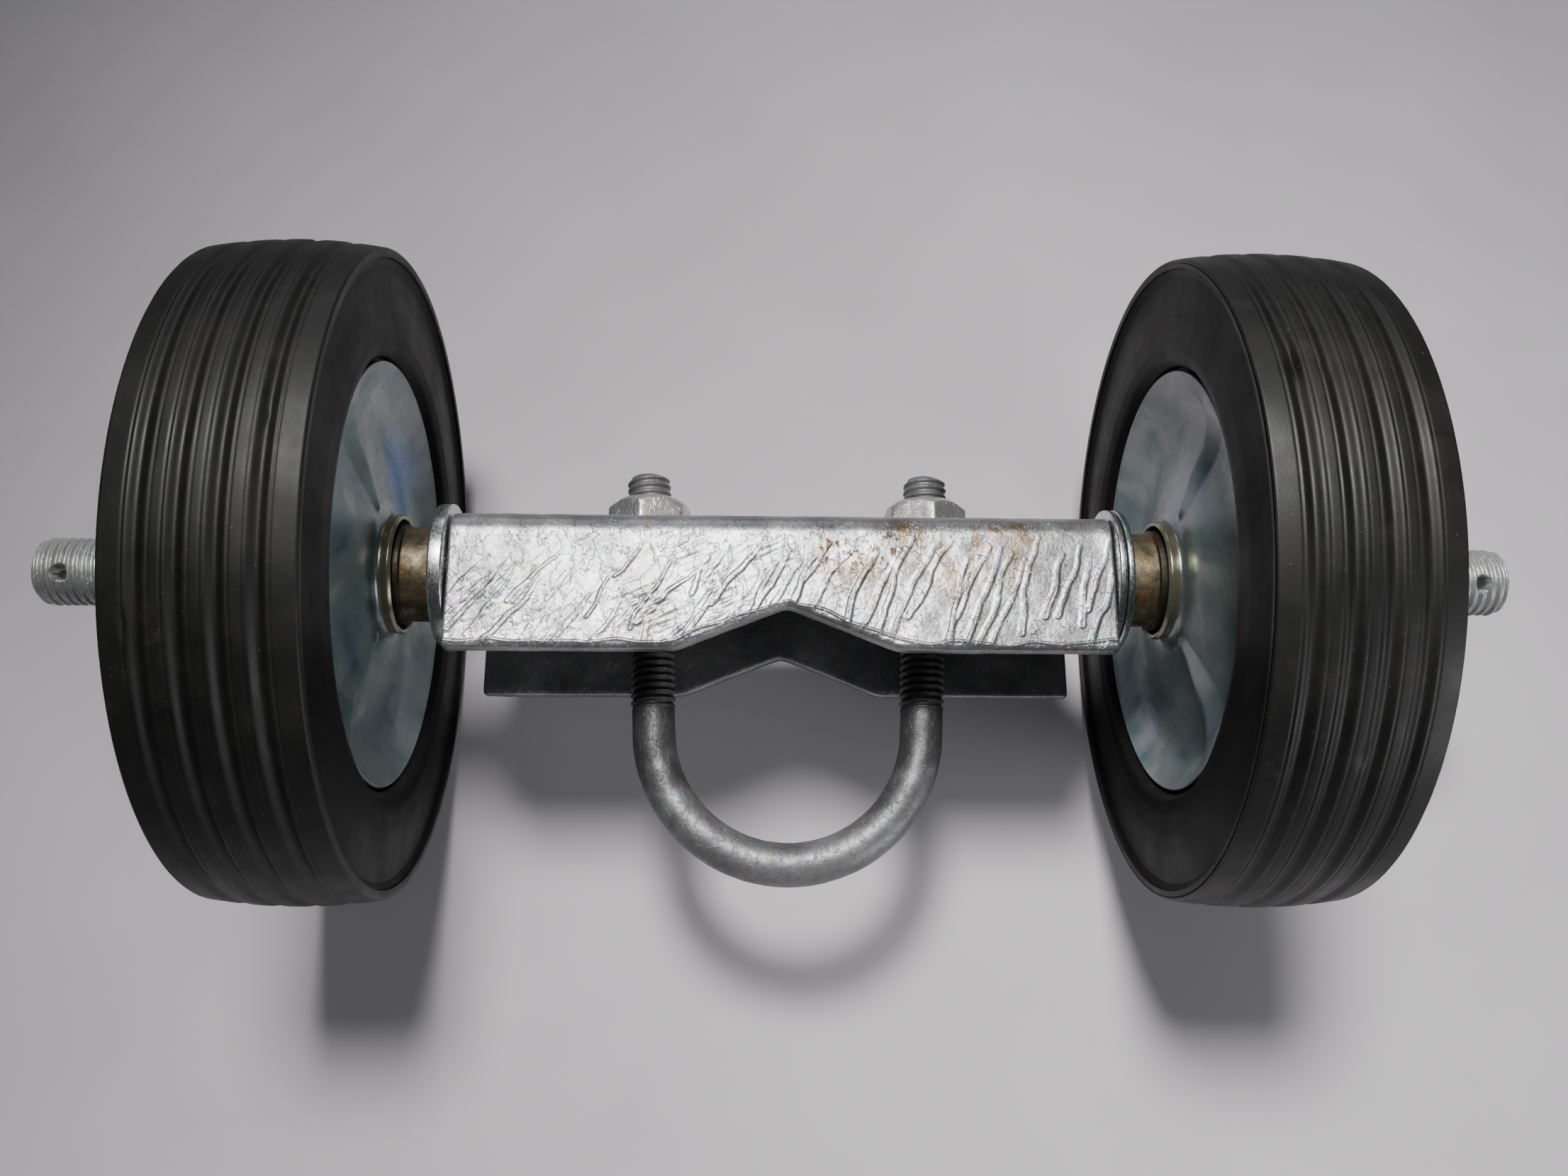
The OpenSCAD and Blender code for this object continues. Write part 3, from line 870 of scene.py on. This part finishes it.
def make_axle():
    """The through axle, threaded outside the wheels, with a pin hole through each end."""
    thread_from = box_mm("axle_nut_right")[0][0] - 1.5
    fine = np.append(np.arange(thread_from, AXLE_END, AXLE_PITCH / 12), AXLE_END)
    coarse = np.linspace(0, thread_from, 60, endpoint=False)
    half = np.concatenate([coarse, fine])
    x = np.concatenate([-half[::-1], half[1:]])
    path = np.stack([x, np.zeros_like(x), np.full_like(x, AXLE_Z)], axis=-1)
    tangent = np.tile([1.0, 0.0, 0.0], (len(x), 1))
    threaded = smooth_step((np.abs(x) - thread_from) / 2)
    radius = AXLE_R - 0.12 * (1 - threaded) - end_cut(x - x[0], 2 * AXLE_END, 3.4, 3.0)
    piece = rod(path, tangent, radius, AXLE_THREAD_DEPTH * threaded, AXLE_PITCH,
                "axle_bar", AXLE_ZINC, ["axle"], grain=0.06, segments=72)
    lean = (0, -math.sin(PIN_HOLE_LEAN), math.cos(PIN_HOLE_LEAN))
    for side in SIDES.values():
        drill(piece, (side * (AXLE_END - PIN_HOLE_INSET), 0, AXLE_Z), lean, PIN_HOLE_R, 4 * AXLE_R)


# ---- nuts, washers and welds ----

WASHER_BORE_R = 8.45
WELD_RIPPLE = 2.3


def hex_wall(angles, flats, turn):
    """Distance from a nut's middle to its side at each angle, with the six corners softened."""
    sixth = math.pi / 3
    off = (angles - math.radians(turn)) % sixth - sixth / 2
    sharp = flats / 2 / np.cos(off)
    most = 0.985 * flats / math.sqrt(3)
    return np.minimum(most - 0.18 * np.logaddexp(0, (most - sharp) / 0.18), sharp)


def hex_nut(flats, height, bore, turn, name, material, replaces, place):
    """A forged nut with its corners cut back by a cone at both faces.
    Place maps its own (u, v, t) to the frame."""
    angles = np.linspace(0, 2 * math.pi, 180, endpoint=False)
    wall = hex_wall(angles, flats, turn)
    face_r = flats / 2 * 0.88
    drop = np.clip(wall - face_r, 0, None) * 0.9
    soft = 0.25
    lead = 0.6
    cone = [(face_r + (wall - face_r) * share, drop * share + 0.02) for share in (0.05, 0.35, 0.7, 0.93)]
    side = height - 2 * drop - 2 * soft
    lower = [(bore, lead), (bore + lead, 0.0), (face_r - soft, 0.0)] + cone + [(wall, drop + soft)]
    flank = [(wall, drop + soft + side * share) for share in (0.25, 0.5, 0.75)]
    upper = [(r, height - t) for r, t in lower[::-1]]
    local = np.array([np.stack(np.broadcast_arrays(r * np.cos(angles), r * np.sin(angles), t), axis=-1)
                      for r, t in lower + flank + upper])
    flat = local.reshape(-1, 3)
    dents = 0.004 * np.clip(waves(flat, 4, 51), 0, None) + 0.003 * np.clip(waves(flat, 1.6, 52), 0, None)
    flat[:, :2] *= 1 - dents[:, None]
    shape = Shape()
    numbers = shape.add(place(flat).reshape(local.shape))
    shape.skin(numbers, round_columns=True)
    shape.make(name, "carrier", material, replaces, sharp=38)


def make_nuts():
    """The two nuts on the U-bolt and the two on the axle."""
    for label, side in SIDES.items():
        lo, hi = box_mm(f"clamp_nut_{label}")
        middle_x = leg_x(side, (lo[1] + hi[1]) / 2)

        def on_leg(p, lo=lo, middle_x=middle_x):
            return np.stack([middle_x + p[:, 0], lo[1] + p[:, 2], CLAMP_Z - p[:, 1]], axis=-1)

        hex_nut(CLAMP_NUT_AF, hi[1] - lo[1], THREAD_R - 0.1, CLAMP_NUT_TURN[label],
                f"clamp_nut_{label}_forged", NUT_ZINC, [f"clamp_nut_{label}"], on_leg)
        lo, hi = box_mm(f"axle_nut_{label}")

        def on_axle(p, lo=lo):
            return np.stack([lo[0] + p[:, 2], p[:, 1], AXLE_Z + p[:, 0]], axis=-1)

        hex_nut(AXLE_NUT_AF, hi[0] - lo[0], AXLE_R - 0.1, 0, f"axle_nut_{label}_forged",
                WASHER_ZINC, [f"axle_nut_{label}"], on_axle)


def make_washers():
    """Flat washers with rolled rims and a slightly wavy face."""
    bore = WASHER_BORE_R
    for node in ("inner_washer_left", "inner_washer_right", "spacer_washer_right",
                 "outer_washer_left", "outer_washer_right"):
        lo, hi = box_mm(node)
        rim = (hi[2] - lo[2]) / 2
        thick = hi[0] - lo[0]
        soft = min(0.55, thick * 0.3)
        outline = fillet([(bore, 0), (rim, 0), (rim, thick), (bore, thick)], soft)
        outline = refine(outline, 1.2)

        def wavy(r, w, turn):
            bend = 0.04 * np.sin(2 * turn + lo[0]) * (r - bore) / (rim - bore)
            nick = 0.05 * np.clip(np.sin(7 * turn + 1.3 * lo[0]) * np.sin(11 * turn), 0, 1)
            return r - nick * (r > rim - 1), np.clip(w + bend, 0, thick)

        look = SPACER_ZINC if node == "spacer_washer_right" else WASHER_ZINC
        turned_piece(f"{node}_ring", "carrier", look, outline, [node],
                     middle=lo[0], radial=wavy)


def weld_row(x, lo, hi):
    """One cross-section of a weld bead at x, with ripples and tapered towards the bead's ends."""
    web_y = hi[1]
    swell = 0.25 + 0.22 * abs(math.sin(math.pi * (x - lo[0]) / WELD_RIPPLE))
    full = min(1, (x - lo[0]) / 2, (hi[0] - x) / 2)
    low = np.array([web_y, lo[2] * full + (AXLE_Z - 3) * (1 - full)])
    toe = np.array([1.2, AXLE_Z - AXLE_R + 0.9]) * full + np.array([web_y - 2, AXLE_Z - 3.5]) * (1 - full)
    row = []
    for t in np.linspace(0, 1, 16):
        y, z = low * (1 - t) + toe * t
        bulge = swell * math.sin(math.pi * t) * full
        jitter = 0.1 * noise.noise(Vector((x * 0.9, t * 3, 4.2)))
        row.append((x, y - 0.3 * bulge, z + 0.5 - bulge + jitter))
    return row + [(x, 4.4, AXLE_Z - 3.8), (x, web_y, AXLE_Z - 1.0)]


def make_welds():
    """Fillet welds between the axle and the web, as rippled beads."""
    for label in SIDES:
        lo, hi = box_mm(f"axle_weld_{label}")
        shape = Shape()
        shape.tube(np.array([weld_row(x, lo, hi) for x in np.arange(lo[0], hi[0], 0.35)]))
        shape.make(f"weld_bead_{label}", "carrier", DULL_ZINC, [f"axle_weld_{label}"])


# ---- wheels ----

# Fine lines beside each groove of the tread: distance outwards from its middle, and depth
TREAD_LINES = [(2.35, 0.12), (-2.6, 0.07)]
LINE_WIDTH = 0.26

# Cuts and scuffs in the treads: tyre, degrees from the top, w, half width, half arc and depth,
# which is below 0 where the rubber is raised
SCARS = [("right", 18, -10.0, 0.6, 3.0, 0.9), ("right", 20, -11.6, 0.5, 2.0, -0.35),
         ("right", 16.5, -4.5, 1.8, 0.5, 0.35), ("right", 16.2, 0.8, 1.5, 0.4, 0.30),
         ("right", 16.0, 4.3, 1.4, 0.4, 0.25), ("right", -42, 1.5, 0.8, 1.5, 0.7),
         ("right", 150, 6.0, 1.2, 2.5, 0.6), ("left", 6, 11.0, 0.5, 0.6, 0.4),
         ("left", -24, -13.0, 0.7, 1.6, 0.6), ("left", 63, 2.0, 1.5, 1.0, 0.5),
         ("left", 200, -5.0, 1.0, 3.0, 0.6)]


def tread(w):
    """Radius of the tread at w: ribs, with broad grooves between them and two fine lines by each."""
    pitch = 2 * TYRE_SIDE / TREAD_RIBS
    half = pitch * 0.28
    r = WHEEL_R - CROWN_DROP * (w / TYRE_SIDE) ** 2
    for n in range(1, TREAD_RIBS):
        off = w - (n * pitch - TYRE_SIDE)
        r = r - np.where(np.abs(off) < half, GROOVE_DEPTH * (1 + np.cos(np.pi * off / half)) / 2, 0)
        outwards = 1 if n > TREAD_RIBS / 2 else -1
        for place, depth in TREAD_LINES:
            r = r - depth * np.exp(-((off - outwards * place) / LINE_WIDTH) ** 2)
    edge = np.clip((np.abs(w) - (TYRE_SIDE - 0.5)) / 0.5, 0, 1)
    return r - 0.35 * edge ** 2


def tyre_outline():
    """The tyre's closed cross-section as (radius, distance from its middle plane)."""
    w = np.linspace(-TYRE_SIDE, TYRE_SIDE, 220)
    tread_line = np.stack([tread(w), w], axis=-1)
    edge_r = float(tread(np.array([TYRE_SIDE]))[0])
    half = [(edge_r - 0.5, TYRE_SIDE), (edge_r - 1.7, TYRE_SIDE), (edge_r - 2.1, TYRE_SIDE - 1.3),
            (edge_r - 3.0, TYRE_SIDE - 1.3), (66.0, TYRE_SIDE - 1.0), (60.0, TYRE_SIDE - 0.5),
            (55.0, TYRE_SIDE - 0.45), (52.3, TYRE_SIDE - 1.2), (OPENING_R, TYRE_SIDE - 3.4),
            (OPENING_R, 13.4), (48.6, 13.2), (TYRE_BORE_R, 3.9)]
    half = np.array(half)
    back = half[::-1] * np.array([1, -1])
    return np.concatenate([tread_line, refine(half, 0.8)[:-1], refine(back, 0.8)[:-1]])


def scarred(label, r, w, turn):
    """Radius of a tyre with its cuts and scuffs taken out of the tread."""
    for tyre, degrees, place, width, arc, depth in SCARS:
        if tyre == label:
            away = (np.degrees(turn) - degrees + 180) % 360 - 180
            dent = np.exp(-((w - place) / width) ** 2 - (away / arc) ** 2)
            r = r - depth * dent * (r > WHEEL_R - 4)
    return r


def on_wheel(r, w, turn, squeeze=1.0):
    """Points of a turned body, relative to its wheel, as (n, 3) for the noise."""
    return np.stack([w * squeeze, r * np.sin(turn), r * np.cos(turn)], axis=-1).reshape(-1, 3)


def make_tyres():
    """Solid rubber tyres, slightly uneven and scarred."""
    outline = tyre_outline()
    for label, side in SIDES.items():

        def worn(r, w, turn, label=label, side=side):
            flat = on_wheel(r, w, turn)
            wobble = np.clip(waves(flat, 34, 61 + side).reshape(r.shape) + 0.5, 0, None)
            small = np.clip(waves(flat, 5, 71 + side).reshape(r.shape), 0, None)
            r = r - (r > OPENING_R + 0.2) * (0.10 * wobble + 0.025 * small)
            return scarred(label, r, w, turn), w

        turned_piece(f"tyre_{label}_ribbed", f"wheel_{label}", RUBBER, outline,
                     [f"tyre_{label}"], middle=side * WHEEL_X, segments=288, radial=worn)


def disc_outline():
    """A pressed disc's closed outline: its front from the hub outwards, then its back."""
    rim = DISC_R + 0.5
    front = [(HUB_R + 0.9, COLLAR_END - 3.2), (COLLAR_R - 1.5, COLLAR_END - 2.2),
             (COLLAR_R - 1.0, COLLAR_END - 0.15), (COLLAR_R - 0.3, COLLAR_END),
             (COLLAR_R + 0.15, COLLAR_END - 0.8), (COLLAR_R - 0.6, DISC_TOP + 0.9),
             (39.5, DISC_FLOOR - 0.3), (rim - 1.0, DISC_EDGE - 0.5), (rim - 0.4, DISC_EDGE),
             (rim, DISC_EDGE - 0.6)]
    back = [(rim - 1.0, DISC_EDGE - DISC_T), (41.4, DISC_FLOOR - DISC_T), (36.0, DISC_FLOOR - 0.6),
            (HUB_R + 0.9, DISC_TOP - DISC_T - 0.3)]
    soft = [0.2, 0.5, 0.25, 0.15, 0.2, 3.4, 7.5, 0.8, 0.3, 0.3, 0.5, 2.0, 2.0, 0.3]
    return refine(fillet(front + back, soft, steps=7), 0.6)


def pressed(r, w, turn):
    """Raises the ribs and the shallow clouds of a disc: the ribs are wedges, pointed at the hub."""
    shelf = DISC_TOP + 0.8 - (r - 16) * DISH_SLOPE
    front = smooth_step(w - shelf + 1.9) * (r > RIB_START)
    lift = np.zeros_like(r)
    for i in range(DISC_RIBS):
        rib = math.pi - WHEEL_TURN + i * 2 * math.pi / DISC_RIBS
        away = (turn - rib + math.pi) % (2 * math.pi) - math.pi
        half = RIB_HALF + (r - 15) * RIB_FLARE
        across = np.abs(r * np.sin(away)) / half + 9 * (np.abs(away) > 1.2)
        lift = np.maximum(lift, np.clip(1.08 - np.sqrt(across ** 2 + 0.0064), 0, 1))
    height = RIB_HEIGHT * (0.28 + 0.72 * smooth_step((r - 15) / 18))
    reach = smooth_step((r - RIB_START) / 2.5) * smooth_step((DISC_R - 0.8 - r) / 8)
    clouds = waves(on_wheel(r, w, turn, squeeze=0.5), 22, 81).reshape(r.shape)
    clouds *= smooth_step((r - 16) / 6) * smooth_step((DISC_R - 1 - r) / 6)
    return r, w + front * (height * lift * reach + 0.22 * clouds)


def make_discs():
    """An inner and an outer disc for each wheel."""
    outline = disc_outline()
    for label, side in SIDES.items():
        for name, facing in (("inner", -side), ("outer", side)):
            turned_piece(f"{name}_disc_{label}_pressed", f"wheel_{label}", BLUE_PLATE,
                         outline, [f"{name}_disc_{label}"], middle=side * WHEEL_X, facing=facing,
                         segments=300, radial=pressed, sharp=50)


def make_hub_tubes():
    """Hub tubes with a stepped ring beside each collar."""
    half = (HUB_HI[0] - HUB_LO[0]) / 2
    ring_in, ring_out = COLLAR_END - 1.0, COLLAR_END + 1.1
    ring_r = HUB_R + 0.75
    front = [(HUB_BORE_R + 0.02, half), (HUB_R, half), (HUB_R, ring_out), (ring_r, ring_out),
             (ring_r, ring_in), (HUB_R, ring_in)]
    back = [(r, -w) for r, w in front[::-1]]
    outline = refine(fillet(front + back, 0.35, steps=4), 0.8)

    def pitted(r, w, turn):
        pits = np.clip(waves(on_wheel(r, w, turn), 1.6, 91).reshape(r.shape), 0, None)
        return r - 0.05 * pits * (r > HUB_R - 0.5), w

    for label, side in SIDES.items():
        turned_piece(f"hub_tube_{label}_sleeve", f"wheel_{label}", GOLDEN, outline,
                     [f"hub_tube_{label}"], middle=side * WHEEL_X, segments=144, radial=pitted)


def finish_bushes():
    """The bushes keep their CAD shape and get their bronze."""
    for label in SIDES:
        for end in ("inner", "outer"):
            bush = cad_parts[f"{end}_bush_{label}"]
            bush.data.materials.clear()
            bush.data.materials.append(BRONZE)


# ---- stage ----

ROOM_COLOUR = (0.62, 0.66, 0.72, 1)
ROOM_STRENGTH = 0.10

# Lamps, in metres: name, place, aim, size, watts, spread in degrees and colour
LAMPS = [("key", (-0.08, 0.37, 1.10), (0.11, -0.13, 0.0), (0.27, 0.30), 1.95, 52, (1.0, 0.99, 0.98)),
         ("window", (-0.10, 1.60, 0.50), (0.0, 0.0, 0.08), (0.9, 0.5), 1.0, 120, (0.93, 0.96, 1.0)),
         ("fill", (1.0, -0.75, 0.50), (0.0, 0.0, 0.08), (0.8, 0.6), 3.2, 120, (0.97, 0.98, 1.0))]

CAMERA_PLACE = (-8.6, -91.2, 380.9)
CAMERA_TURN = (16.21, -1.725, -0.04)
LENS = 30.8
SENSOR = 36


def make_stage():
    """Plain pale floor, one soft lamp overhead, weak window and fill lights and a dim room."""
    bpy.ops.mesh.primitive_plane_add(size=6)
    floor = bpy.context.object
    floor.name = "floor"
    floor.data.materials.append(pale_floor("pale_floor"))
    world = bpy.data.worlds.new("room")
    bpy.context.scene.world = world
    world.use_nodes = True
    background = world.node_tree.nodes["Background"]
    background.inputs["Color"].default_value = ROOM_COLOUR
    background.inputs["Strength"].default_value = ROOM_STRENGTH
    for lamp in LAMPS:
        area_light(*lamp)


def area_light(name, place, target, size, power, spread, colour):
    """An elliptical area lamp at place, turned to its target."""
    light = bpy.data.lights.new(name, "AREA")
    light.shape = "ELLIPSE"
    light.size, light.size_y = size
    light.energy = power
    light.spread = math.radians(spread)
    light.color = colour
    lamp = bpy.data.objects.new(name, light)
    bpy.context.scene.collection.objects.link(lamp)
    lamp.location = place
    lamp.rotation_euler = (Vector(target) - Vector(place)).to_track_quat("-Z", "Y").to_euler()


def make_camera():
    """The camera looks steeply down from the U-bolt's side."""
    data = bpy.data.cameras.new("camera")
    data.sensor_width = SENSOR
    data.lens = LENS
    data.clip_start = 0.01
    camera = bpy.data.objects.new("camera", data)
    bpy.context.scene.collection.objects.link(camera)
    camera.location = Vector(CAMERA_PLACE) * MM
    camera.rotation_euler = [math.radians(a) for a in CAMERA_TURN]
    bpy.context.scene.camera = camera


make_camera()
make_stage()
make_saddle()
make_u_bolt()
make_axle()
make_nuts()
make_washers()
make_welds()
make_tyres()
make_discs()
make_hub_tubes()
finish_bushes()
